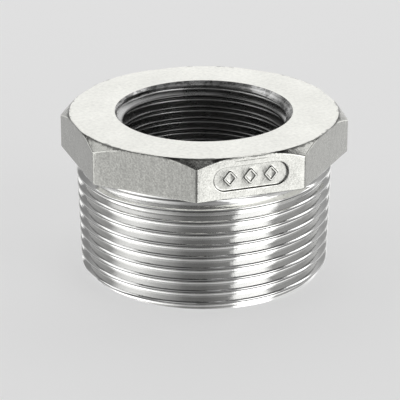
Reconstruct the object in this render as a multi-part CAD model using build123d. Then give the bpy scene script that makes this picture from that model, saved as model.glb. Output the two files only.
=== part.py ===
from build123d import *
import os
from math import atan, ceil, cos, degrees, radians, tan

# Reducing bushing in cast stainless steel, one solid piece: an eight-sided head above a taper male
# pipe thread, with a parallel female pipe thread down its middle. The origin is the middle of the
# male end's face, +Z runs from there to the head, and the marked flat faces -Y. The male thread is
# cut in full. The female one is a plain bore of its minor diameter.

# Head
side_count = 8
across_flats = 50.0
head_height = 7.9
corner_radius = 0.7  # upright edges, as cast
underside_radius = 0.3  # lower edge, as cast
face_past_flats = 0.2  # how far the turned top face runs out beyond the middle of a flat
corner_slope = 40.0  # of the cast corners around the turned face, in degrees from level

# Form of both pipe threads: 11 to the inch, 55 degrees, with flats in place of the small radii
pitch = 2.309
flank_angle = 27.5
thread_depth = 1.479
crest_flat = 0.385

# Male thread, 1 1/2 inch, taper 1 in 16
male_gauge_diameter = 47.803
male_gauge_length = 12.7
male_taper = 1 / 16
male_length = 22.8
first_root_height = 1.21  # middle of the lowest whole root, towards +X
runout_length = 5.0  # over which the roots rise below the head
runout_depth = 0.3  # what is left of the thread's depth at the head
end_chamfer = 1.15
end_chamfer_height = 1.5

# Bore, 1 inch female thread
bore_diameter = 30.291
mouth_chamfer = 1.55
tail_chamfer = 0.6

# Round-ended pocket in the marked flat, set in from the flat's four edges
pocket_depth = 0.35
pocket_side_margin = 3.2
pocket_top_margin = 1.7
pocket_low_margin = 1.5

# What follows from these
total_height = male_length + head_height
flat_width = across_flats * tan(radians(180 / side_count))
corner_reach = across_flats / 2 / cos(radians(180 / side_count))
face_radius = across_flats / 2 + face_past_flats
bore_radius = bore_diameter / 2
cone_angle = degrees(atan(male_taper / 2))
flank_rise = thread_depth * tan(radians(flank_angle))
root_flat = pitch - crest_flat - 2 * flank_rise
clear = pitch  # how far cutting shapes run past what they cut

# Where the shank's helpers end inside its thinnest wall, from the bore outwards as shares of it: the
# thread's own solid, the shape that trims it, and the plain core that overlaps both
thread_inside = 0.4
trim_inside = 0.6
core_outside = 0.8


def crest_radius(z):
    return male_gauge_diameter / 2 + (z - male_gauge_length) * male_taper / 2


end_radius = crest_radius(0) - end_chamfer
wall = end_radius - thread_depth - bore_radius
thread_inner_radius = bore_radius + wall * thread_inside
trim_inner_radius = bore_radius + wall * trim_inside
core_radius = bore_radius + wall * core_outside


def revolved(*outline):
    """The solid of revolution about Z of an outline of (radius, height) points."""
    return revolve(Plane.XZ * make_face(Polyline(*outline, close=True)), Axis.Z)


def cone_turn(z, below_crest):
    """One turn of a helix that starts at height z, a distance inside the crests' cone."""
    slant_pitch = pitch / cos(radians(cone_angle))
    radius = crest_radius(z) - below_crest
    return Helix(slant_pitch, pitch, radius, center=(0, 0, z), cone_angle=cone_angle).edge()


def inner_turn(z):
    """One turn of a helix on the cylinder that closes the thread's solid on its inside."""
    return Helix(pitch, pitch, thread_inner_radius, center=(0, 0, z)).edge()


def thread_solid(lowest, turn_count):
    """The thread as one thick spiral sleeve. Faces ruled between neighbouring helices, a turn at a
    time, make its roots, flanks and crests. Spiral faces and one section close each end."""
    profile = [
        (0, thread_depth),
        (flank_rise, 0),
        (flank_rise + crest_flat, 0),
        (flank_rise + crest_flat + flank_rise, thread_depth),
    ]
    starts = [lowest + turn * pitch for turn in range(turn_count + 1)]
    outer = [cone_turn(start + rise, depth) for start in starts for rise, depth in profile]
    outer = outer[: turn_count * len(profile) + 1]
    inner = [inner_turn(start) for start in starts]
    faces = [Face.make_surface_from_curves(low, high) for low, high in zip(outer, outer[1:])]
    faces += [Face.make_surface_from_curves(low, high) for low, high in zip(inner, inner[1:])]
    faces += [Face.make_surface_from_curves(inner[end], outer[end]) for end in (0, -1)]
    first_section = [inner[0], *outer[: len(profile) + 1], inner[1]]
    last_section = [inner[-2], *outer[-len(profile) - 1 :], inner[-1]]
    for section, at_end in ((first_section, 0), (last_section, 1)):
        corners = [edge.position_at(at_end) for edge in section]
        faces.append(Face(Wire.make_polygon(corners, close=True)))
    return Solid(Shell(faces))


def male_shank():
    """The threaded length, trimmed to its chamfered end and to the head, round a plain core."""
    lowest = first_root_height + root_flat / 2
    lowest -= ceil((lowest + clear) / pitch) * pitch
    turn_count = ceil((male_length + clear - lowest) / pitch)
    widest = crest_radius(male_length) + clear
    chamfer_top = (widest - end_radius) / end_chamfer * end_chamfer_height
    room = revolved(
        (trim_inner_radius, 0),
        (end_radius, 0),
        (widest, chamfer_top),
        (widest, male_length),
        (trim_inner_radius, male_length),
    )
    runout_start = male_length - runout_length
    core = revolved(
        (0, 0),
        (core_radius, 0),
        (core_radius, runout_start),
        (crest_radius(runout_start) - thread_depth, runout_start),
        (crest_radius(male_length) - runout_depth, male_length),
        (0, male_length),
    )
    return room.intersect(thread_solid(lowest, turn_count)) + [core]


def octagon_head():
    """The cast head: rounded upright and lower edges, sloped corners round a turned top face."""
    half_side = 180 / side_count
    outline = RegularPolygon(across_flats / 2, side_count, major_radius=False, rotation=half_side - 90)
    prism = extrude(Plane.XY.offset(male_length) * outline, head_height)
    prism = fillet(prism.edges().filter_by(Axis.Z), corner_radius)
    prism = fillet(prism.faces().sort_by(Axis.Z)[0].edges(), underside_radius)
    reach = corner_reach + clear
    slope_bottom = total_height - (reach - face_radius) * tan(radians(corner_slope))
    turned = revolved(
        (0, male_length),
        (reach, male_length),
        (reach, slope_bottom),
        (face_radius, total_height),
        (0, total_height),
    )
    return prism & turned


def bore():
    """What the bore removes: the minor diameter right through, and a 45 degree chamfer at each end."""
    mouth = bore_radius + mouth_chamfer + clear
    tail = bore_radius + tail_chamfer + clear
    return revolved(
        (0, -clear),
        (tail, -clear),
        (bore_radius, tail_chamfer),
        (bore_radius, total_height - mouth_chamfer),
        (mouth, total_height + clear),
        (0, total_height + clear),
    )


def mark_pocket():
    """What the pocket in the marked flat removes."""
    height = head_height - pocket_top_margin - pocket_low_margin
    middle = male_length + pocket_low_margin + height / 2
    flat = Plane((0, -across_flats / 2, middle), x_dir=(1, 0, 0), z_dir=(0, -1, 0))
    outline = SlotOverall(flat_width - 2 * pocket_side_margin, height)
    return extrude(flat * outline, pocket_depth, both=True)


os.makedirs("parts", exist_ok=True)
thread, core = male_shank()
bushing = thread + core + octagon_head() - bore() - mark_pocket()
export_step(bushing, "parts/bushing.step")
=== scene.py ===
"""A threaded reducing bushing in cast stainless steel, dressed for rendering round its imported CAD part."""
import math

import bpy
import numpy as np
from mathutils import Matrix, Vector
from mathutils.geometry import delaunay_2d_cdt


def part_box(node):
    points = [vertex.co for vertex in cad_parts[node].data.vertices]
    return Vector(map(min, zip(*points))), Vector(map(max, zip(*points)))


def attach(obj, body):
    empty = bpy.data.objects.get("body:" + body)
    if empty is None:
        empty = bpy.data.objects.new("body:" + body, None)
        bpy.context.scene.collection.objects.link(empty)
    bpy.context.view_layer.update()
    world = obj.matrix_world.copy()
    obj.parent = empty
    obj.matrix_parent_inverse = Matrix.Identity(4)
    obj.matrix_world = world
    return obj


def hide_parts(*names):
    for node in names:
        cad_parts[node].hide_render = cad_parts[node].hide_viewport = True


bl_info = {
    "name": "Reducing bushing",
    "version": (1, 0, 0),
    "blender": (4, 5, 0),
    "location": "3D View > Sidebar > Bushing",
    "description": "Builds a threaded reducing bushing and the stage it is shown on",
    "category": "Object",
}

MM = 0.001
SIDES = 8

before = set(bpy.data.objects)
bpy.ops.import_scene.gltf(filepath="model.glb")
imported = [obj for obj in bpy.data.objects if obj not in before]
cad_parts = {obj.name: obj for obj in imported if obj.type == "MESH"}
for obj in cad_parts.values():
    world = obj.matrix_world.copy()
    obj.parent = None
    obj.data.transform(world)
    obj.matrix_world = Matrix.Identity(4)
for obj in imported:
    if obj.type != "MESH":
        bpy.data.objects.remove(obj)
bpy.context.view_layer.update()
BOX_LOW, BOX_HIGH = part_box("bushing")


def length(name, description, default):
    """A length in metres that the panel shows."""
    return bpy.props.FloatProperty(
        name=name, description=description, default=default, unit="LENGTH", subtype="DISTANCE", precision=6
    )


def angle(name, description, degrees):
    """An angle that the panel shows, given in degrees and held in radians."""
    return bpy.props.FloatProperty(
        name=name, description=description, default=math.radians(degrees), unit="ROTATION", subtype="ANGLE"
    )


def colour(name, description, default):
    """A colour that the panel shows."""
    return bpy.props.FloatVectorProperty(
        name=name, description=description, default=default, size=3, subtype="COLOR", min=0, max=1
    )


class HeadSizes(bpy.types.PropertyGroup):
    """The head: eight flats with sloped corners under a turned face"""

    across_flats: length("Across flats", "Width of the head from flat to flat", BOX_HIGH.x - BOX_LOW.x)
    top: length("Top", "Height of the turned face above the table", BOX_HIGH.z)
    height: length("Height", "From the head's underside to its turned face", 7.9 * MM)
    corner_radius: length("Corner radius", "Rounding of the upright edges", 0.7 * MM)
    underside_radius: length("Underside radius", "Rounding of the lower edge", 0.3 * MM)
    shoulder_radius: length("Shoulder radius", "Rounding where a flat runs into a corner's slope", 0.45 * MM)
    rim_radius: length("Rim radius", "Edge break round the turned face", 0.08 * MM)
    face_past_flats: length("Face past flats", "How far the turned face runs past a flat's middle", 0.2 * MM)
    corner_slope: angle("Corner slope", "Fall of the cast corners from level", 40.0)


class ThreadSizes(bpy.types.PropertyGroup):
    """The male taper thread and the female thread in the bore"""

    pitch: length("Pitch", "Distance between neighbouring crests, for both threads", 2.309 * MM)
    depth: length("Depth", "From crest to root, for both threads", 1.479 * MM)
    tip_radius: length("Tip radius", "Rounding of crests and roots", 0.317 * MM)
    flank_angle: angle("Flank angle", "Half of the thread's angle", 27.5)
    gauge_radius: length("Gauge radius", "Male crest radius at the gauge plane", 47.803 / 2 * MM)
    gauge_height: length("Gauge height", "Gauge plane above the male end", 12.7 * MM)
    taper: bpy.props.FloatProperty(
        name="Taper", description="Male thread's fall in diameter per length", default=1 / 16
    )
    first_root: length("First root", "Height of the lowest whole male root, towards +X", 1.21 * MM)
    runout_length: length("Run-out", "Length over which the male roots rise below the head", 5.0 * MM)
    runout_depth: length("Run-out depth", "What is left of the male thread's depth at the head", 0.3 * MM)
    end_chamfer: length("End chamfer", "How much the male end is chamfered, on the radius", 1.15 * MM)
    end_chamfer_height: length("End chamfer height", "How far up the male end's chamfer reaches", 1.5 * MM)
    bore_radius: length("Bore radius", "Female crests and the plain bore below them", 30.291 / 2 * MM)
    mouth_chamfer: length("Mouth chamfer", "Chamfer of the bore at the turned face", 1.55 * MM)
    tail_chamfer: length("Tail chamfer", "Chamfer of the bore at the male end", 0.6 * MM)
    female_length: length("Female length", "Depth of the female thread below the turned face", 20.0 * MM)
    female_runout: length("Female run-out", "Length over which the female roots fade out", 3.0 * MM)
    female_root: length("Female root", "Height of a female root, towards +X", 1.0 * MM)


class MarkSizes(bpy.types.PropertyGroup):
    """The pocket on one flat and its raised lozenges"""

    width: length("Width", "Length of the round-ended pocket", 14.31 * MM)
    height: length("Height", "Height of the pocket", 4.7 * MM)
    low_margin: length("Low margin", "From the head's underside up to the pocket", 1.5 * MM)
    depth: length("Depth", "Depth of the pocket", 0.35 * MM)
    raised: length("Raised", "How far the lozenges stand off the pocket's floor", 0.24 * MM)
    lozenge_half_width: length("Lozenge half width", "Middle of a lozenge to its side points", 1.45 * MM)
    lozenge_half_height: length(
        "Lozenge half height", "Middle of a lozenge to its upper and lower points", 1.7 * MM
    )
    stroke: length("Stroke", "Width of a lozenge's raised line", 0.5 * MM)
    spacing: length("Spacing", "Distance between neighbouring lozenges", 3.9 * MM)
    count: bpy.props.IntProperty(name="Count", description="Number of lozenges", default=3, min=1)


class Finishes(bpy.types.PropertyGroup):
    """Base colours of the steel's surfaces and of the stage"""

    cast_steel: colour("Cast steel", "Blasted surfaces of the casting", (0.31, 0.31, 0.293))
    turned_steel: colour("Turned steel", "The turned face", (0.79, 0.79, 0.748))
    thread_steel: colour("Thread steel", "The cut threads", (0.80, 0.80, 0.79))
    # the bore's steel is the cut steel made darker, as painted shade inside the bore
    shaded_bore_steel: colour("Bore steel", "Inside of the bore", (0.5, 0.5, 0.495))
    table: colour("Table", "The table's own colour", (0.88, 0.88, 0.88))
    backdrop: colour("Backdrop", "What shows above the table", (0.716, 0.716, 0.716))


class Value:
    """A number in a node tree. Arithmetic on it adds Math nodes."""

    def __init__(self, graph, socket):
        self.graph = graph
        self.socket = socket

    def math(self, operation, *others):
        return self.graph.math(operation, self, *others)

    def __add__(self, other):
        return self.math("ADD", other)

    __radd__ = __add__

    def __sub__(self, other):
        return self.math("SUBTRACT", other)

    def __rsub__(self, other):
        return self.graph.math("SUBTRACT", other, self)

    def __mul__(self, other):
        return self.math("MULTIPLY", other)

    def __truediv__(self, other):
        return self.math("DIVIDE", other)

    def __rtruediv__(self, other):
        return self.graph.math("DIVIDE", other, self)

    def __neg__(self):
        return self.math("MULTIPLY", -1.0)

    def __lt__(self, other):
        return self.math("LESS_THAN", other)

    def __gt__(self, other):
        return self.math("GREATER_THAN", other)


def socket_of(sockets, key):
    """A node's socket by its index, identifier or name."""
    if isinstance(key, int):
        return sockets[key]
    for socket in sockets:
        if key == socket.identifier:
            return socket
    return sockets[key]


class Graph:
    """Adds nodes to one node tree."""

    def __init__(self, tree):
        self.tree = tree

    def node(self, kind, settings=None, sockets=None):
        """A node of a kind. Its settings are made first, then its sockets' values and links."""
        made = self.tree.nodes.new(kind)
        for name, value in (settings or {}).items():
            if name == "stops":
                ramp = made.color_ramp
                while len(ramp.elements) < len(value):
                    ramp.elements.new(1.0)
                for element, (position, level) in zip(ramp.elements, value):
                    element.position = position
                    element.color = (level, level, level, 1.0)
            else:
                setattr(made, name, value)
        for key, value in (sockets or {}).items():
            socket = socket_of(made.inputs, key)
            if isinstance(value, Value):
                self.tree.links.new(value.socket, socket)
            else:
                socket.default_value = value
        return made

    def out(self, made, key=0):
        return Value(self, socket_of(made.outputs, key))

    def math(self, operation, *values):
        made = self.node("ShaderNodeMath", {"operation": operation}, dict(enumerate(values)))
        return self.out(made)

    def parts(self, vector):
        """A vector's x, y and z."""
        made = self.node("ShaderNodeSeparateXYZ", {}, {0: vector})
        return [self.out(made, axis) for axis in range(3)]

    def joined(self, x, y, z):
        """The vector with this x, y and z."""
        return self.out(self.node("ShaderNodeCombineXYZ", {}, {0: x, 1: y, 2: z}))

    def from_axis(self, x, y):
        """Distance from the object's upright axis."""
        return self.math("SQRT", x * x + y * y)

    def place(self):
        """Where a point of the surface lies, in the object's own axes."""
        return self.out(self.node("ShaderNodeTexCoord"), "Object")

    def facing(self):
        """The direction that the surface faces."""
        return self.out(self.node("ShaderNodeNewGeometry"), "Normal")

    def noise(self, vector, scale, detail=2.0, roughness=0.5):
        """Noise from 0 to 1. In the object's own axes, scale is its cells to the metre."""
        made = self.node(
            "ShaderNodeTexNoise",
            {},
            {"Vector": vector, "Scale": scale, "Detail": detail, "Roughness": roughness},
        )
        return self.out(made, "Fac")

    def between(self, value, low, high, new_low=0.0, new_high=1.0):
        """value's place from low to high, held inside that range and mapped to a new one."""
        sockets = {0: value, 1: low, 2: high, 3: new_low, 4: new_high}
        made = self.node("ShaderNodeMapRange", {"clamp": True}, sockets)
        return self.out(made)


def rgba(values):
    """A colour with its alpha, as a socket takes it."""
    return (*values, 1.0)


# ---------------------------------------------------------------- threads

NO_THREAD, MALE, FEMALE = range(3)
CAST, TURNED, THREAD, BORE = range(4)


def group_with(name, inputs):
    """A Geometry Nodes tree with a geometry going through it and named inputs (name, socket type)."""
    tree = bpy.data.node_groups.new(name, "GeometryNodeTree")
    tree.interface.new_socket(name="Geometry", in_out="OUTPUT", socket_type="NodeSocketGeometry")
    tree.interface.new_socket(name="Geometry", in_out="INPUT", socket_type="NodeSocketGeometry")
    for label, kind in inputs:
        tree.interface.new_socket(name=label, in_out="INPUT", socket_type=kind)
    return tree


THREAD_INPUTS = (
    "Side",
    "Pitch",
    "Depth",
    "Tip radius",
    "Flank angle",
    "Gauge radius",
    "Gauge height",
    "Taper",
    "Crest height",
    "Run-out start",
    "Run-out end",
    "Run-out depth",
    "Chamfer radius",
    "Chamfer height",
    "Chamfer slope",
)


def thread_cutter_tree():
    """The tree that cuts one thread into the surface of a turned blank, in place. Side is 1 for a male
    thread, which is cut inwards, and -1 for a female one, which is cut outwards."""
    floats = [(label, "NodeSocketFloat") for label in THREAD_INPUTS]
    tree = group_with("Cut one thread", [("Selection", "NodeSocketBool"), *floats])
    graph = Graph(tree)
    given = graph.node("NodeGroupInput")
    side, pitch, depth, tip, flank, gauge, gauge_height, taper, crest_height, fade_start, fade_end, faded = (
        graph.out(given, label) for label in THREAD_INPUTS[:12]
    )
    chamfer_radius, chamfer_height, chamfer_slope = (graph.out(given, label) for label in THREAD_INPUTS[12:])
    x, y, z = graph.parts(graph.out(graph.node("GeometryNodeInputPosition")))
    turn = graph.math("ARCTAN2", y, x) / math.tau
    off_crest = graph.math("PINGPONG", z - crest_height - turn * pitch, pitch / 2)
    slope = 1 / graph.math("TANGENT", flank)
    arc_end = tip * graph.math("COSINE", flank)
    arc_drop = tip - tip * graph.math("SINE", flank)
    on_flank = -(arc_drop + (off_crest - arc_end) * slope)
    on_crest = graph.math("SQRT", graph.math("MAXIMUM", tip * tip - off_crest * off_crest, 0.0)) - tip
    off_root = pitch / 2 - off_crest
    on_root = tip - depth - graph.math("SQRT", graph.math("MAXIMUM", tip * tip - off_root * off_root, 0.0))
    cut = on_flank + (off_crest < arc_end) * (on_crest - on_flank)
    cut = cut + (off_root < arc_end) * (on_root - on_flank)
    limit = graph.between(z, fade_start, fade_end, depth, faded)
    cut = graph.math("MAXIMUM", cut, -limit)
    crest = gauge + (z - gauge_height) * taper / 2
    chamfer = chamfer_radius + (z - chamfer_height) * chamfer_slope
    radius = side * graph.math("MINIMUM", side * crest + cut, side * chamfer)
    stretch = radius / graph.from_axis(x, y)
    placed = graph.node(
        "GeometryNodeSetPosition",
        {},
        {
            "Geometry": graph.out(given, "Geometry"),
            "Selection": graph.out(given, "Selection"),
            "Position": graph.joined(x * stretch, y * stretch, z),
        },
    )
    graph.node("NodeGroupOutput", {}, {"Geometry": graph.out(placed)})
    return tree


def picked(graph, attribute, number):
    """Where an attribute of whole numbers holds this number."""
    held = graph.node("GeometryNodeInputNamedAttribute", {"data_type": "INT"}, {"Name": attribute})
    same = graph.node(
        "FunctionNodeCompare",
        {"data_type": "INT", "operation": "EQUAL"},
        {"A_INT": graph.out(held), "B_INT": number},
    )
    return graph.out(same)


def finishing_tree(cutter, finishes):
    """The tree that cuts both threads, welds the blank's seams and gives each surface its finish."""
    kinds = ("Male", "Female")
    named = [(f"{kind} {label.lower()}", "NodeSocketFloat") for kind in kinds for label in THREAD_INPUTS]
    materials = [(f"Finish {number}", "NodeSocketMaterial") for number in range(len(finishes))]
    tree = group_with("Bushing from its blank", [*named, ("Weld", "NodeSocketFloat"), *materials])
    graph = Graph(tree)
    given = graph.node("NodeGroupInput")
    geometry = graph.out(given, "Geometry")
    for zone, kind in zip((MALE, FEMALE), kinds):
        sizes = {label: graph.out(given, f"{kind} {label.lower()}") for label in THREAD_INPUTS}
        cut = graph.node(
            "GeometryNodeGroup",
            {"node_tree": cutter},
            {"Geometry": geometry, "Selection": picked(graph, "thread_zone", zone), **sizes},
        )
        geometry = graph.out(cut)
    welded = graph.node(
        "GeometryNodeMergeByDistance", {}, {"Geometry": geometry, "Distance": graph.out(given, "Weld")}
    )
    geometry = graph.out(graph.node("GeometryNodeRealizeInstances", {}, {"Geometry": graph.out(welded)}))
    for number in range(len(finishes)):
        coated = graph.node(
            "GeometryNodeSetMaterial",
            {},
            {
                "Geometry": geometry,
                "Selection": picked(graph, "finish", number),
                "Material": graph.out(given, f"Finish {number}"),
            },
        )
        geometry = graph.out(coated)
    graph.node("NodeGroupOutput", {}, {"Geometry": geometry})
    return tree


# ---------------------------------------------------------------- blank

COLUMNS_PER_SIDE = 30
COLUMNS = SIDES * COLUMNS_PER_SIDE
CORNER_COLUMNS = 3  # from a corner's middle to the end of its rounding
ARC_MIDDLE = 0.53  # rows beside a crest or root, in half widths of its rounding: one on the rounding,
ARC_PASSED = 1.3  # and one on the flank, just past it
TAIL_EDGE_RADIUS = 0.1 * MM  # where the plain bore meets the male end's chamfer
LOZENGE_SIDE_STEPS = 4
# outlines of the pocket's wall and of a lozenge's edges: mm inwards of the nominal line, then the share
# of the depth or of the raised height that is reached there
POCKET_WALL = (
    (-0.16, 0.0),
    (-0.04, 0.035),
    (0.04, 0.14),
    (0.12, 0.6),
    (0.19, 0.88),
    (0.28, 0.98),
    (0.42, 1.0),
)
LOZENGE_EDGE = ((-0.1, 0.0), (0.0, 0.12), (0.07, 0.75), (0.13, 1.0))
LOZENGE_CORNERS = (0.35 * MM, 0.12 * MM)  # rounding of the outer and the inner line
POCKET_TOLERANCE = 1e-6


def head_plan(head):
    """The head's outline: each column's angle, and its distance from the axis, with rounded corners.
    Columns stand closer together round the corners."""
    apothem = head.across_flats / 2
    half = math.pi / SIDES
    centre = (apothem - head.corner_radius) / math.cos(half)
    reach = centre + head.corner_radius * math.cos(half)
    arc_end = math.atan(head.corner_radius * math.sin(half) / reach)
    flat_columns = COLUMNS_PER_SIDE // 2 - CORNER_COLUMNS
    flat_reach = apothem * math.tan(half - arc_end)
    across = np.linspace(0, flat_reach, flat_columns + 1)
    on_flat = np.arctan(across / apothem)
    on_arc = half - np.linspace(arc_end, 0, CORNER_COLUMNS + 1)[1:]
    half_side = np.concatenate([on_flat, on_arc])
    whole_side = np.concatenate([half_side, (2 * half - half_side[-2:0:-1])])
    angles = np.concatenate([whole_side + side * 2 * half for side in range(SIDES)] + [[math.tau]])
    off_corner = np.abs((angles % (2 * half)) - half)
    inside = np.maximum(head.corner_radius**2 - (centre * np.sin(off_corner)) ** 2, 0)
    rounded = centre * np.cos(off_corner) + np.sqrt(inside)
    straight = apothem / np.cos(half - off_corner)
    return angles, np.where(off_corner < arc_end, rounded, straight)


def bend(before, corner, after, radius, steps):
    """Points round one corner of a profile, for all columns at once. Each is (radius, height)."""
    back, ahead = before - corner, after - corner
    back_length = np.linalg.norm(back, axis=-1, keepdims=True)
    ahead_length = np.linalg.norm(ahead, axis=-1, keepdims=True)
    back = back / np.maximum(back_length, 1e-12)
    ahead = ahead / np.maximum(ahead_length, 1e-12)
    half = np.arccos(np.clip((back * ahead).sum(-1, keepdims=True), -1, 1)) / 2
    most = 0.45 * np.minimum(back_length, ahead_length)
    reach = np.minimum(radius / np.maximum(np.tan(half), 1e-6), most)
    start, end = corner + back * reach, corner + ahead * reach
    weight = np.sin(half)
    points = []
    for share in np.linspace(0, 1, steps + 1):
        parts = (1 - share) ** 2, 2 * weight * share * (1 - share), share**2
        points.append((start * parts[0] + corner * parts[1] + end * parts[2]) / sum(parts))
    return points


def column_points(radius, height):
    """One point a column, (radius, height), from numbers or arrays."""
    points = np.empty((COLUMNS + 1, 2))
    points[:, 0] = radius
    points[:, 1] = height
    return points


def towards(first, second, share):
    return first + (second - first) * share


def male_end_crest(thread):
    """Radius of the male crests at the male end, before the chamfer."""
    return thread.gauge_radius - thread.gauge_height * thread.taper / 2


def helical_heights(thread, crest_height, low, high):
    """Heights of the rows that follow one thread, lowest row first: each row runs along the helix and
    stops at the zone's ends."""
    pitch, half = thread.pitch, thread.pitch / 2
    arc_end = thread.tip_radius * math.cos(thread.flank_angle)
    on_arc, on_flank = arc_end * ARC_MIDDLE, arc_end * ARC_PASSED
    steps = [0, on_arc, arc_end, on_flank, half - on_flank, half - arc_end, half - on_arc]
    steps = np.array([*steps, half, *[pitch - step for step in steps[:0:-1]]])
    lowest = math.floor((low - crest_height) / pitch) - 2
    highest = math.ceil((high - crest_height) / pitch)
    turns = np.arange(lowest, highest + 1)
    starts = (turns[:, None] * pitch + steps[None, :]).ravel() + crest_height
    climb = np.linspace(0, pitch, COLUMNS + 1)
    heights = np.clip(starts[:, None] + climb[None, :], low, high)
    keep = (heights.min(axis=1) < high) & (heights.max(axis=1) > low)
    kept = np.flatnonzero(keep)
    return heights[max(kept[0] - 1, 0) : kept[-1] + 2]


def blank_rows(head, thread):
    """The rows of points that wrap the whole bushing, from the male end's face up its outside, over the
    head and down the bore. Each is (angles, points, thread zone, finish of the strip above it)."""
    even = np.linspace(0, math.tau, COLUMNS + 1)
    head_angles, outline = head_plan(head)
    under = head.top - head.height
    tail_radius = thread.bore_radius + thread.tail_chamfer
    end_radius = male_end_crest(thread) - thread.end_chamfer
    rows = []

    def add(points, zone=NO_THREAD, finish=CAST, angles=even):
        rows.append((angles, points, zone, finish))

    # the male end's face
    for share in (0.0, 0.04, 0.5, 0.96):
        add(column_points(towards(tail_radius, end_radius, share), 0), finish=THREAD)

    # the male thread, up to the head's turned underside
    male_crest = thread.first_root + thread.pitch / 2
    *lower, highest = helical_heights(thread, male_crest, 0.0, under)
    for heights in lower:
        add(column_points(thread.gauge_radius, heights), MALE, THREAD)
    add(column_points(thread.gauge_radius, highest), MALE, TURNED)

    # the head, with its rounded lower edge, flats, sloped corners and rim
    face_radius = head.across_flats / 2 + head.face_past_flats
    fall = np.maximum(outline - face_radius, 0) * math.tan(head.corner_slope)
    rim_radius = np.minimum(outline, face_radius)
    neck = column_points(thread.gauge_radius + head.underside_radius, under)
    foot = column_points(outline, under)
    shoulder = column_points(outline, head.top - fall)
    rim = column_points(rim_radius, head.top)
    centre = column_points(0, head.top)
    for share in (0.35, 0.75):
        add(towards(neck, foot, share), finish=TURNED, angles=towards(even, head_angles, share))
    for point in bend(neck, foot, shoulder, head.underside_radius, steps=4):
        add(point, angles=head_angles)
    flat_start = len(rows) - 1
    sloped = (fall > 1e-9)[:, None]
    shoulder_bend = bend(foot, shoulder, rim, head.shoulder_radius, steps=4)
    plain = towards(foot, shoulder, 0.985)
    low = rows[-1][1]
    high = np.where(sloped, shoulder_bend[0], plain)
    for share in (0.05, 0.5, 0.9):
        add(towards(low, high, share), angles=head_angles)
    flat_end = len(rows) - 1
    for point in shoulder_bend:
        add(np.where(sloped, point, plain), angles=head_angles)
    add(np.where(sloped, towards(shoulder, rim, 0.7), plain), angles=head_angles)
    rim_before = np.where(sloped, shoulder, foot)
    for point in bend(rim_before, rim, centre, head.rim_radius, steps=2):
        add(point, angles=head_angles, finish=TURNED)

    # the turned face
    mouth = thread.bore_radius + thread.mouth_chamfer
    inner = column_points(mouth, head.top)
    start = rows[-1][1]
    for share in (0.03, 0.3, 0.65, 0.97):
        add(towards(start, inner, share), angles=towards(head_angles, even, share), finish=TURNED)

    # the female thread, from the face down
    fade_end = head.top - thread.female_length - thread.female_runout
    female_crest = thread.female_root + thread.pitch / 2
    for heights in helical_heights(thread, female_crest, fade_end, head.top)[::-1]:
        add(column_points(thread.bore_radius, heights), FEMALE, BORE)

    # the plain bore below it
    for share in (0.1, 0.9):
        height = towards(fade_end, thread.tail_chamfer, share)
        add(column_points(thread.bore_radius, height), finish=BORE)
    above = column_points(thread.bore_radius, fade_end)
    corner = column_points(thread.bore_radius, thread.tail_chamfer)
    for point in bend(above, corner, rows[0][1], TAIL_EDGE_RADIUS, steps=2):
        add(point, finish=BORE)
    return rows, flat_start, flat_end


def rounded_lozenge(half_width, half_height, corner, steps=3):
    """Points of a lozenge round the origin with rounded corners, anticlockwise."""
    tips = np.array([(half_width, 0), (0, half_height), (-half_width, 0), (0, -half_height)])
    points = []
    for number, tip in enumerate(tips):
        before, after = tips[number - 1], tips[(number + 1) % 4]
        turned = bend(before[None], tip[None], after[None], corner, steps)
        points += [point[0] for point in turned]
        start, end = points[-1], tip + after - points[-1]
        shares = [step / LOZENGE_SIDE_STEPS for step in range(1, LOZENGE_SIDE_STEPS)]
        points += [towards(start, end, share) for share in shares]
    return np.array(points)


def round_ended(half_straight, radius, steps=20):
    """Points of a round-ended slot round the origin, anticlockwise."""
    right = np.linspace(-math.pi / 2, math.pi / 2, steps + 1)
    along = np.linspace(half_straight, -half_straight, 2 * steps)[1:-1]
    ends = np.column_stack([half_straight + radius * np.cos(right), radius * np.sin(right)])
    upper = np.column_stack([along, np.full(len(along), radius)])
    half = np.concatenate([ends, upper])
    return np.concatenate([half, -half])


def mark_contours(mark):
    """The pocket and its lozenges as closed lines, each with its depth below the flat."""
    radius = mark.height / 2
    straight = mark.width / 2 - radius
    lines = []
    for offset, share in POCKET_WALL:
        lines.append((round_ended(straight, radius - offset * MM), share * mark.depth))
    steep = math.hypot(1 / mark.lozenge_half_width, 1 / mark.lozenge_half_height)
    for number in range(mark.count):
        middle = np.array([(number - (mark.count - 1) / 2) * mark.spacing, 0])
        for inwards, edge, corner in zip((1, -1), (0.0, mark.stroke), LOZENGE_CORNERS):
            for offset, share in LOZENGE_EDGE:
                size = 1 - (edge + inwards * offset * MM) * steep
                half_sizes = mark.lozenge_half_width * size, mark.lozenge_half_height * size
                outline = rounded_lozenge(*half_sizes, corner)
                lines.append((outline + middle, mark.depth - share * mark.raised))
    return lines


def marked_patch(border, mark, head):
    """Triangles that fill the marked flat's border and dip into the pocket. border is the flat's outer
    line, (x, z). It gives the new points, (x, y, z), and triangles whose first numbers are the border's."""
    middle = head.top - head.height + mark.low_margin + mark.height / 2
    points, depths, edges = [*border], [0.0] * len(border), []
    loops = [range(len(border))]
    for outline, depth in mark_contours(mark):
        loops.append(range(len(points), len(points) + len(outline)))
        points += list(outline + (0, middle))
        depths += [depth] * len(outline)
    for loop in loops:
        edges += [(a, b) for a, b in zip(loop, [*loop[1:], loop[0]])]
    scaled = [Vector(point) / MM for point in points]
    _, _, faces, origins, _, _ = delaunay_2d_cdt(scaled, edges, [], 0, POCKET_TOLERANCE)
    back = {number: given[0] for number, given in enumerate(origins)}
    triangles = [tuple(back[corner] for corner in face) for face in faces]
    front = -head.across_flats / 2
    placed = [(x, front + depth, z) for (x, z), depth in zip(points, depths)]
    return placed[len(border) :], triangles


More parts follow.
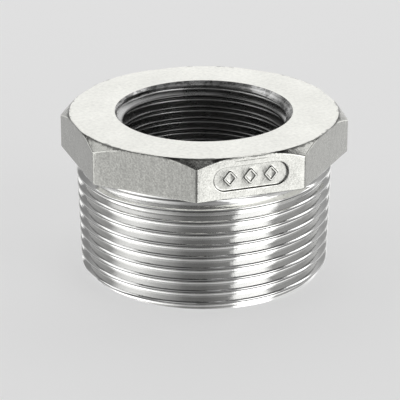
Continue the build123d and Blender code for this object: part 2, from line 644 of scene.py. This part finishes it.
def blank_mesh(head, thread, mark):
    """The bushing before its threads are cut, as one mesh that closes when its seams are welded."""
    rows, flat_start, flat_end = blank_rows(head, thread)
    count, width = len(rows), COLUMNS + 1
    places = np.empty((count, width, 3))
    for number, (angles, points, _, _) in enumerate(rows):
        places[number, :, 0] = points[:, 0] * np.cos(angles)
        places[number, :, 1] = points[:, 0] * np.sin(angles)
        places[number, :, 2] = points[:, 1]
    places = places.reshape(-1, 3)
    marked_column = COLUMNS * 3 // 4
    margin = COLUMNS_PER_SIDE // 2 - CORNER_COLUMNS - 1
    first, last = marked_column - margin, marked_column + margin
    number = np.arange(count)[:, None] * width + np.arange(COLUMNS)[None, :]
    above = np.roll(np.arange(count), -1)[:, None] * width + np.arange(COLUMNS)[None, :]
    quads = np.stack([number, number + 1, above + 1, above], axis=-1)
    finish = np.repeat([row[3] for row in rows], COLUMNS).reshape(count, COLUMNS)
    kept = np.ones((count, COLUMNS), bool)
    kept[flat_start:flat_end, first:last] = False
    ring = [flat_start * width + column for column in range(first, last)]
    ring += [row * width + last for row in range(flat_start, flat_end)]
    ring += [flat_end * width + column for column in range(last, first, -1)]
    ring += [row * width + first for row in range(flat_end, flat_start, -1)]
    added, triangles = marked_patch(places[ring][:, (0, 2)], mark, head)
    numbers = ring + list(range(len(places), len(places) + len(added)))
    faces = quads[kept].tolist() + [[numbers[corner] for corner in face] for face in triangles]
    mesh = bpy.data.meshes.new("bushing_blank")
    mesh.from_pydata(places.tolist() + added, [], faces)
    zones = np.concatenate([np.repeat([row[2] for row in rows], width), np.zeros(len(added), int)])
    mesh.attributes.new("thread_zone", "INT", "POINT").data.foreach_set("value", zones.astype(np.int32))
    surface = np.concatenate([finish[kept], np.full(len(triangles), CAST)])
    mesh.attributes.new("finish", "INT", "FACE").data.foreach_set("value", surface.astype(np.int32))
    return mesh


# ---------------------------------------------------------------- finishes


def new_material(name):
    """An empty material and the graph of its nodes."""
    material = bpy.data.materials.new(name)
    material.use_nodes = True
    material.node_tree.nodes.clear()
    return material, Graph(material.node_tree)


def steel(graph, base, roughness, normal):
    """Bare metal as the material's surface."""
    shader = graph.node(
        "ShaderNodeBsdfPrincipled",
        {},
        {"Base Color": base, "Metallic": 1.0, "Roughness": roughness, "Normal": normal},
    )
    graph.node("ShaderNodeOutputMaterial", {}, {"Surface": graph.out(shader)})


def bumped(graph, height, strength, distance):
    """The surface's direction, bent by a height that varies."""
    made = graph.node("ShaderNodeBump", {}, {"Height": height, "Strength": strength, "Distance": distance})
    return graph.out(made)


def shade(graph, colour_value, factor):
    """A colour made lighter or darker by a factor that varies."""
    scaled = graph.node(
        "ShaderNodeVectorMath", {"operation": "SCALE"}, {0: tuple(colour_value), "Scale": factor}
    )
    return graph.out(scaled, "Vector")


def swing(noise, amount):
    """A noise as a change either way from nothing, this much from end to end."""
    return (noise - 0.5) * amount


def cast_material(base, head, mark):
    """Blasted casting: a fine grain, a painted highlight on the edges and slopes that face a little upwards,
    a torn, darker line under the turned face, and a pocket with painted shade on its walls and, less, on its
    floor."""
    material, graph = new_material("blasted_cast_steel")
    place = graph.place()
    grain = graph.noise(place, 2800, roughness=0.7)
    patch = graph.noise(place, 900)
    blotch = graph.noise(place, 160)
    ragged = graph.noise(place, 1300, roughness=0.7)
    x, y, z = graph.parts(place)
    _, facing_y, facing_z = graph.parts(graph.facing())

    # painted highlight: surfaces that face a little upwards, the rounded edges and the corner slopes, are
    # painted lighter
    tilt = facing_z + swing(patch, 0.3)
    edge_highlight = graph.between(tilt, 0.05, 0.3) * (1 - graph.between(tilt, 0.45, 0.62) * 0.65)
    below_top = head.top - z + swing(ragged, 0.9 * MM)
    torn = graph.between(below_top, 0.4 * MM, 0.2 * MM)

    behind_flat = y + head.across_flats / 2
    beside = graph.math("ABSOLUTE", x) < mark.width / 2
    in_pocket = (behind_flat > 0.03 * MM) * (behind_flat < mark.depth * 1.5) * beside
    # painted shade in the pocket: its walls much darker, its floor a little darker
    wall_shade = in_pocket * graph.between(-facing_y, 0.97, 0.8)
    floor = in_pocket * graph.between(behind_flat, mark.depth * 0.5, mark.depth * 0.9)

    tone = 0.96 + swing(grain, 1.15) + swing(patch, 0.3) + swing(blotch, 0.1) + edge_highlight * 1.2
    tone = tone * (1 - torn * 0.7) * (1 - floor * 0.12 - wall_shade * 0.6)
    normal = bumped(graph, grain * 0.5 + patch * 0.8, strength=0.5, distance=0.1 * MM)
    steel(graph, shade(graph, base, tone), 0.24 + swing(grain, 0.2), normal)
    return material


def turned_material(base, head):
    """A turned face: fine rings round the axis, and a burred, darker edge where the turning stops."""
    material, graph = new_material("turned_face_steel")
    place = graph.place()
    x, y, _ = graph.parts(place)
    radius = graph.from_axis(x, y)
    rings = graph.noise(graph.joined(radius * 6000, 0.0, 0.0), 1.0)
    patch = graph.noise(place, 150)
    grain = graph.noise(place, 1400, detail=3.0, roughness=0.6)
    ragged = graph.noise(place, 700, detail=3.0, roughness=0.7)

    edge = head.across_flats / 2 + head.face_past_flats
    burred = graph.between(radius + swing(ragged, 2.6 * MM), edge - 0.07 * MM, edge + 0.13 * MM)
    tone = 0.96 + swing(rings, 0.08) + swing(patch, 0.2) + swing(grain, 0.45)
    normal = bumped(graph, rings * 0.3 + grain, strength=0.5, distance=0.05 * MM)
    steel(graph, shade(graph, base, tone * (1 - burred * 0.55)), 0.36 + swing(rings, 0.1), normal)
    return material


def thread_material(name, base, roughness, crest, taper=0.0, side=1.0, crest_shade=0.0, mouth=1.0, end=1.0):
    """A cut thread: fine tool marks that run along the groove, faint chatter across it, painted shade on the
    flanks that face down, a painted highlight on the roots, and a thin painted shadow line just under each
    crest. crest is the crests' radius at height 0, and side is 1 for a male thread and -1 for a female one.
    A share given for the crests darkens them as painted shade. The chamfer just below the height mouth is
    chipped, with a painted highlight on its lip, and the painted shadow lines stop at the height end."""
    material, graph = new_material(name)
    place = graph.place()
    x, y, z = graph.parts(place)
    radius = graph.from_axis(x, y)
    turn = graph.math("ARCTAN2", y, x)
    cosine, sine = graph.math("COSINE", turn), graph.math("SINE", turn)
    # the marks are long round the axis and fine upwards, and the chatter is short round the axis
    marks_place = graph.joined(cosine * 14, sine * 14, z * 9000)
    chatter_place = graph.joined(cosine * 60, sine * 60, z * 350 + radius * 500)
    marks = graph.noise(marks_place, 1.0, detail=3.0, roughness=0.6)
    chatter = graph.noise(chatter_place, 1.0)
    patch = graph.noise(place, 200)

    _, _, facing_z = graph.parts(graph.facing())
    facing_down = graph.between(-facing_z, 0.1, 0.4)
    depth = (crest + z * (taper / 2) - radius) * side
    in_root = graph.between(depth, 1.15 * MM, 1.3 * MM)
    near_crest = graph.between(depth, 0.45 * MM, 0.15 * MM)
    lower_half = graph.between(-facing_z, -0.25, 0.05)
    # a painted shadow line on the lower side of each crest, only below the height end
    crest_shadow_line = near_crest * lower_half * graph.between(z, end, end - MM)

    below_mouth = mouth - z + swing(patch, 0.5 * MM)
    chamfer = graph.between(below_mouth, 1.5 * MM, 1.3 * MM)
    # painted highlight: a bright band on the mouth's chamfer, just below the turned face
    lip_highlight = graph.between(below_mouth, 0.42 * MM, 0.5 * MM) * graph.between(below_mouth, 0.8 * MM, 0.72 * MM)
    chipped = graph.between(graph.noise(place, 600, detail=3.0, roughness=0.7), 0.47, 0.56)

    # painted shade on the flanks that face down, and a painted highlight on the roots
    painted_light_and_chips = 1 + in_root * 0.25 - facing_down * 0.5
    # the shadow line under each crest, and painted shade on the crests by the share given for them
    painted_light_and_chips = painted_light_and_chips * (1 - crest_shadow_line * 0.8) * (1 - near_crest * crest_shade)
    painted_light_and_chips = painted_light_and_chips * (1 - chamfer * (0.15 + chipped * 0.5)) + lip_highlight * 0.5
    tone = painted_light_and_chips * (0.95 + swing(marks, 0.16) + swing(patch, 0.1))
    roughness = roughness + swing(patch, 0.12) + swing(marks, 0.06)
    normal = bumped(graph, marks * 0.5 + chatter * 0.5, strength=0.25, distance=0.04 * MM)
    steel(graph, shade(graph, base, tone), roughness, normal)
    return material


# ---------------------------------------------------------------- operators


WELD_DISTANCE = 0.002 * MM
SHARP_EDGE = math.radians(32)


def cutter_values(head, thread):
    """What the cutter gets for the male thread and for the female one, by its inputs' names."""
    under = head.top - head.height
    female_end = head.top - thread.female_length
    male = {
        "side": 1.0,
        "gauge radius": thread.gauge_radius,
        "gauge height": thread.gauge_height,
        "taper": thread.taper,
        "crest height": thread.first_root + thread.pitch / 2,
        "run-out start": under - thread.runout_length,
        "run-out end": under,
        "run-out depth": thread.runout_depth,
        "chamfer radius": male_end_crest(thread) - thread.end_chamfer,
        "chamfer height": 0.0,
        "chamfer slope": thread.end_chamfer / thread.end_chamfer_height,
    }
    female = {
        "side": -1.0,
        "gauge radius": thread.bore_radius,
        "gauge height": 0.0,
        "taper": 0.0,
        "crest height": thread.female_root + thread.pitch / 2,
        "run-out start": female_end,
        "run-out end": female_end - thread.female_runout,
        "run-out depth": 0.0,
        "chamfer radius": thread.bore_radius + thread.mouth_chamfer,
        "chamfer height": head.top,
        "chamfer slope": 1.0,
    }
    values = {}
    for kind, own in (("Male", male), ("Female", female)):
        own["pitch"], own["depth"] = thread.pitch, thread.depth
        own["tip radius"], own["flank angle"] = thread.tip_radius, thread.flank_angle
        values.update({f"{kind} {label}": value for label, value in own.items()})
    return values


class BUSHING_OT_body(bpy.types.Operator):
    """Build the bushing: turn its blank, cut both threads and finish each surface"""

    bl_idname = "bushing.body"
    bl_label = "Bushing"

    def execute(self, context):
        scene = context.scene
        head, thread, mark = scene.bushing_head, scene.bushing_thread, scene.bushing_mark
        materials = self.materials(head, thread, mark, scene.bushing_finishes)
        blank = blank_mesh(head, thread, mark)
        for material in materials:
            blank.materials.append(material)
        holder = bpy.data.objects.new("bushing_blank", blank)
        scene.collection.objects.link(holder)
        modifier = holder.modifiers.new("threads", "NODES")
        modifier.node_group = finishing_tree(thread_cutter_tree(), materials)
        values = {"Weld": WELD_DISTANCE, **cutter_values(head, thread)}
        values.update({f"Finish {number}": material for number, material in enumerate(materials)})
        for item in modifier.node_group.interface.items_tree:
            if item.in_out == "INPUT" and item.name in values:
                modifier[item.identifier] = values[item.name]
        evaluated = holder.evaluated_get(context.evaluated_depsgraph_get())
        mesh = bpy.data.meshes.new_from_object(evaluated)
        mesh.name = "bushing_body"
        bpy.data.objects.remove(holder)
        for name in ("thread_zone", "finish"):
            mesh.attributes.remove(mesh.attributes[name])
        mesh.polygons.foreach_set("use_smooth", np.ones(len(mesh.polygons), bool))
        mesh.set_sharp_from_angle(angle=SHARP_EDGE)
        body = bpy.data.objects.new("bushing_body", mesh)
        scene.collection.objects.link(body)
        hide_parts("bushing")
        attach(body, "root")
        return {"FINISHED"}

    def materials(self, head, thread, mark, finish):
        """The four finishes, in the order of their numbers."""
        # where the painted shadow lines under the male crests stop
        shadow_lines_end = head.top - head.height - 1.5 * MM
        return [
            cast_material(finish.cast_steel, head, mark),
            turned_material(finish.turned_steel, head),
            thread_material(
                "cut_thread_steel",
                finish.thread_steel,
                roughness=0.06,
                crest=male_end_crest(thread),
                taper=thread.taper,
                end=shadow_lines_end,
            ),
            # the bore's thread uses the darker steel: painted shade inside the bore
            thread_material(
                "shaded_bore_thread_steel",
                finish.shaded_bore_steel,
                roughness=0.28,
                crest=thread.bore_radius,
                side=-1.0,
                # painted shade on the bore's crests
                crest_shade=0.6,
                mouth=head.top,
            ),
        ]


# The camera stands round a point on the axis, in radians and metres. Its sensor is in millimetres, and
# its lens and shift are in the picture's pixels.
VIEW_AZIMUTH = math.radians(-19.716)
VIEW_ELEVATION = 0.3917
VIEW_DISTANCE = 0.41285
VIEW_HEIGHT = 0.0124
SENSOR_WIDTH = 36.0
LENS_PIXELS = 2166.8
IMAGE_PIXELS = 400
AXIS_SHIFT_PIXELS = 3.87


def seen_plainly(graph):
    """1 for what the camera sees, directly or through glass, and 0 for rays that light the object or
    show in its steel."""
    path = graph.node("ShaderNodeLightPath")
    total = graph.out(path, "Is Camera Ray") + graph.out(path, "Is Transmission Ray")
    return graph.math("MINIMUM", total, 1.0)


def from_camera(right, ahead, up):
    """A direction given as seen from the camera, turned into the scene's axes."""
    turn = Matrix.Rotation(VIEW_AZIMUTH, 3, "Z")
    return turn @ Vector((right, ahead, up))


# Brightness of the studio round the object, by azimuth. Degrees are measured from the camera's side,
# towards its right: a white softbox to the right, a wider one to the left, dark between them and pale
# behind the object.
SOFTBOXES = (
    (-180, 1.05),
    (-150, 0.78),
    (-134, 0.9),
    (-112, 0.87),
    (-102, 0.85),
    (-92, 2.1),
    (-80, 2.55),
    (-68, 2.35),
    (-50, 1.28),
    (-31, 0.75),
    (-20, 0.44),
    (0, 0.38),
    (28, 0.68),
    (35, 3.2),
    (65, 3.5),
    (73, 1.0),
    (88, 0.93),
    (108, 0.88),
    (128, 1.3),
    (150, 1.1),
    (180, 1.05),
)
BRIGHTEST = max(level for _, level in SOFTBOXES)
# The share of that brightness by height: the sine of a direction's elevation, then the share. It is whole
# below the horizon.
FALL_WITH_HEIGHT = (
    (0.0, 1.0),
    (0.09, 1.0),
    (0.2, 0.35),
    (0.42, 0.35),
    (0.5, 0.45),
    (0.62, 0.45),
    (0.75, 0.2),
    (0.85, 0.05),
)
# The lamps: name, place as (right, ahead, up) seen from the camera's side, width, height, brightness.
LAMPS = (
    ("overhead_softbox", (0.05, -0.03, 0.8), 0.3, 0.3, 0.8),
    ("ceiling_softbox", (0.0, 0.45, 0.65), 0.6, 0.5, 0.7),
    ("left_softbox", (-0.5, 0.2, 0.55), 0.4, 0.3, 1.0),
    ("right_softbox", (0.6, 0.3, 0.6), 0.3, 0.3, 1.5),
    ("back_softbox", (0.0, 0.66, 0.29), 0.7, 0.3, 0.9),
)
TABLE_HALF_WIDTH = 3.0
TABLE_PLAIN_SHARE = 0.6  # how far the camera sees the table's plain colour in place of the lit one


def studio_level(graph, x, y, z):
    """How bright the studio is in a direction, as a share of its brightest."""
    right, ahead = from_camera(1, 0, 0), from_camera(0, 1, 0)
    aside = x * right.x + y * right.y
    near = -(x * ahead.x + y * ahead.y)
    turn = graph.math("ARCTAN2", aside, near) / math.tau + 0.5
    stops = [((azimuth + 180) / 360, level / BRIGHTEST) for azimuth, level in SOFTBOXES]
    round_axis = graph.node("ShaderNodeValToRGB", {"stops": stops}, {0: turn})
    upwards = graph.node("ShaderNodeValToRGB", {"stops": FALL_WITH_HEIGHT}, {0: z})
    return graph.out(round_axis) * graph.out(upwards)


class BUSHING_OT_stage(bpy.types.Operator):
    """Set the table, the studio, its lamps and the camera"""

    bl_idname = "bushing.stage"
    bl_label = "Stage"

    def execute(self, context):
        scene = context.scene
        self.table(scene)
        self.studio(scene)
        self.lamps(scene)
        self.camera(scene)
        scene.view_settings.view_transform = "Standard"
        return {"FINISHED"}

    def table(self, scene):
        size = TABLE_HALF_WIDTH
        corners = [(-size, -size, 0), (size, -size, 0), (size, size, 0), (-size, size, 0)]
        mesh = bpy.data.meshes.new("table")
        mesh.from_pydata(corners, [], [(0, 1, 2, 3)])
        table = bpy.data.objects.new("table", mesh)
        scene.collection.objects.link(table)
        material, graph = new_material("pale_table")
        tone = rgba(scene.bushing_finishes.table)
        plain = graph.out(graph.node("ShaderNodeEmission", {}, {"Color": tone, "Strength": 1.0}))
        lit = graph.out(graph.node("ShaderNodeBsdfDiffuse", {}, {"Color": tone}))
        x, y, _ = graph.parts(graph.place())
        outside = graph.from_axis(x, y) > scene.bushing_thread.bore_radius
        share = seen_plainly(graph) * outside * TABLE_PLAIN_SHARE
        pale = graph.node("ShaderNodeMixShader", {}, {0: share, 1: lit, 2: plain})
        # round the bushing the table is clear to reflections, so that the steel shows the studio alone
        reflected = graph.out(graph.node("ShaderNodeLightPath"), "Is Glossy Ray") * outside
        clear = graph.out(graph.node("ShaderNodeBsdfTransparent"))
        mixed = graph.node("ShaderNodeMixShader", {}, {0: reflected, 1: graph.out(pale), 2: clear})
        graph.node("ShaderNodeOutputMaterial", {}, {"Surface": graph.out(mixed)})
        mesh.materials.append(material)

    def studio(self, scene):
        world = bpy.data.worlds.new("studio")
        world.use_nodes = True
        world.node_tree.nodes.clear()
        graph = Graph(world.node_tree)
        direction = graph.out(graph.node("ShaderNodeTexCoord"), "Generated")
        level = studio_level(graph, *graph.parts(direction))
        light = graph.node("ShaderNodeBackground", {}, {"Color": level, "Strength": BRIGHTEST})
        tone = rgba(scene.bushing_finishes.backdrop)
        plain = graph.node("ShaderNodeBackground", {}, {"Color": tone, "Strength": 1.0})
        mixed = graph.node(
            "ShaderNodeMixShader", {}, {0: seen_plainly(graph), 1: graph.out(light), 2: graph.out(plain)}
        )
        graph.node("ShaderNodeOutputWorld", {}, {"Surface": graph.out(mixed)})
        scene.world = world

    def lamps(self, scene):
        for name, place, width, height, brightness in LAMPS:
            data = bpy.data.lights.new(name, "AREA")
            data.shape = "RECTANGLE"
            data.size, data.size_y = width, height
            data.energy = brightness * math.pi * width * height
            lamp = bpy.data.objects.new(name, data)
            lamp.location = from_camera(*place)
            lamp.rotation_euler = lamp.location.to_track_quat("Z", "Y").to_euler()
            lamp.visible_camera = False
            scene.collection.objects.link(lamp)

    def camera(self, scene):
        data = bpy.data.cameras.new("camera")
        data.sensor_width = SENSOR_WIDTH
        data.lens = data.sensor_width * LENS_PIXELS / IMAGE_PIXELS
        data.shift_x = -AXIS_SHIFT_PIXELS / IMAGE_PIXELS
        data.clip_start, data.clip_end = 0.01, 20.0
        camera = bpy.data.objects.new("camera", data)
        back = from_camera(0, -math.cos(VIEW_ELEVATION), math.sin(VIEW_ELEVATION))
        camera.location = Vector((0, 0, VIEW_HEIGHT)) + back * VIEW_DISTANCE
        camera.rotation_euler = back.to_track_quat("Z", "Y").to_euler()
        scene.collection.objects.link(camera)
        scene.camera = camera


class BUSHING_PT_panel(bpy.types.Panel):
    """Builds the bushing and its stage"""

    bl_idname = "BUSHING_PT_panel"
    bl_label = "Bushing"
    bl_space_type = "VIEW_3D"
    bl_region_type = "UI"
    bl_category = "Bushing"

    def draw(self, context):
        layout = self.layout
        for operator in OPERATORS:
            layout.operator(operator.bl_idname)
        for name in GROUPS:
            box = layout.box()
            group = getattr(context.scene, name)
            for key in group.bl_rna.properties.keys():
                if key not in ("rna_type", "name"):
                    box.prop(group, key)


GROUPS = {
    "bushing_head": HeadSizes,
    "bushing_thread": ThreadSizes,
    "bushing_mark": MarkSizes,
    "bushing_finishes": Finishes,
}
OPERATORS = (BUSHING_OT_body, BUSHING_OT_stage)


def register():
    for group in (*GROUPS.values(), *OPERATORS, BUSHING_PT_panel):
        bpy.utils.register_class(group)
    for name, group in GROUPS.items():
        setattr(bpy.types.Scene, name, bpy.props.PointerProperty(type=group))


def unregister():
    for name in GROUPS:
        delattr(bpy.types.Scene, name)
    for group in (BUSHING_PT_panel, *OPERATORS, *GROUPS.values()):
        bpy.utils.unregister_class(group)


def main():
    register()
    bpy.ops.bushing.body()
    bpy.ops.bushing.stage()


if __name__ == "__main__":
    main()
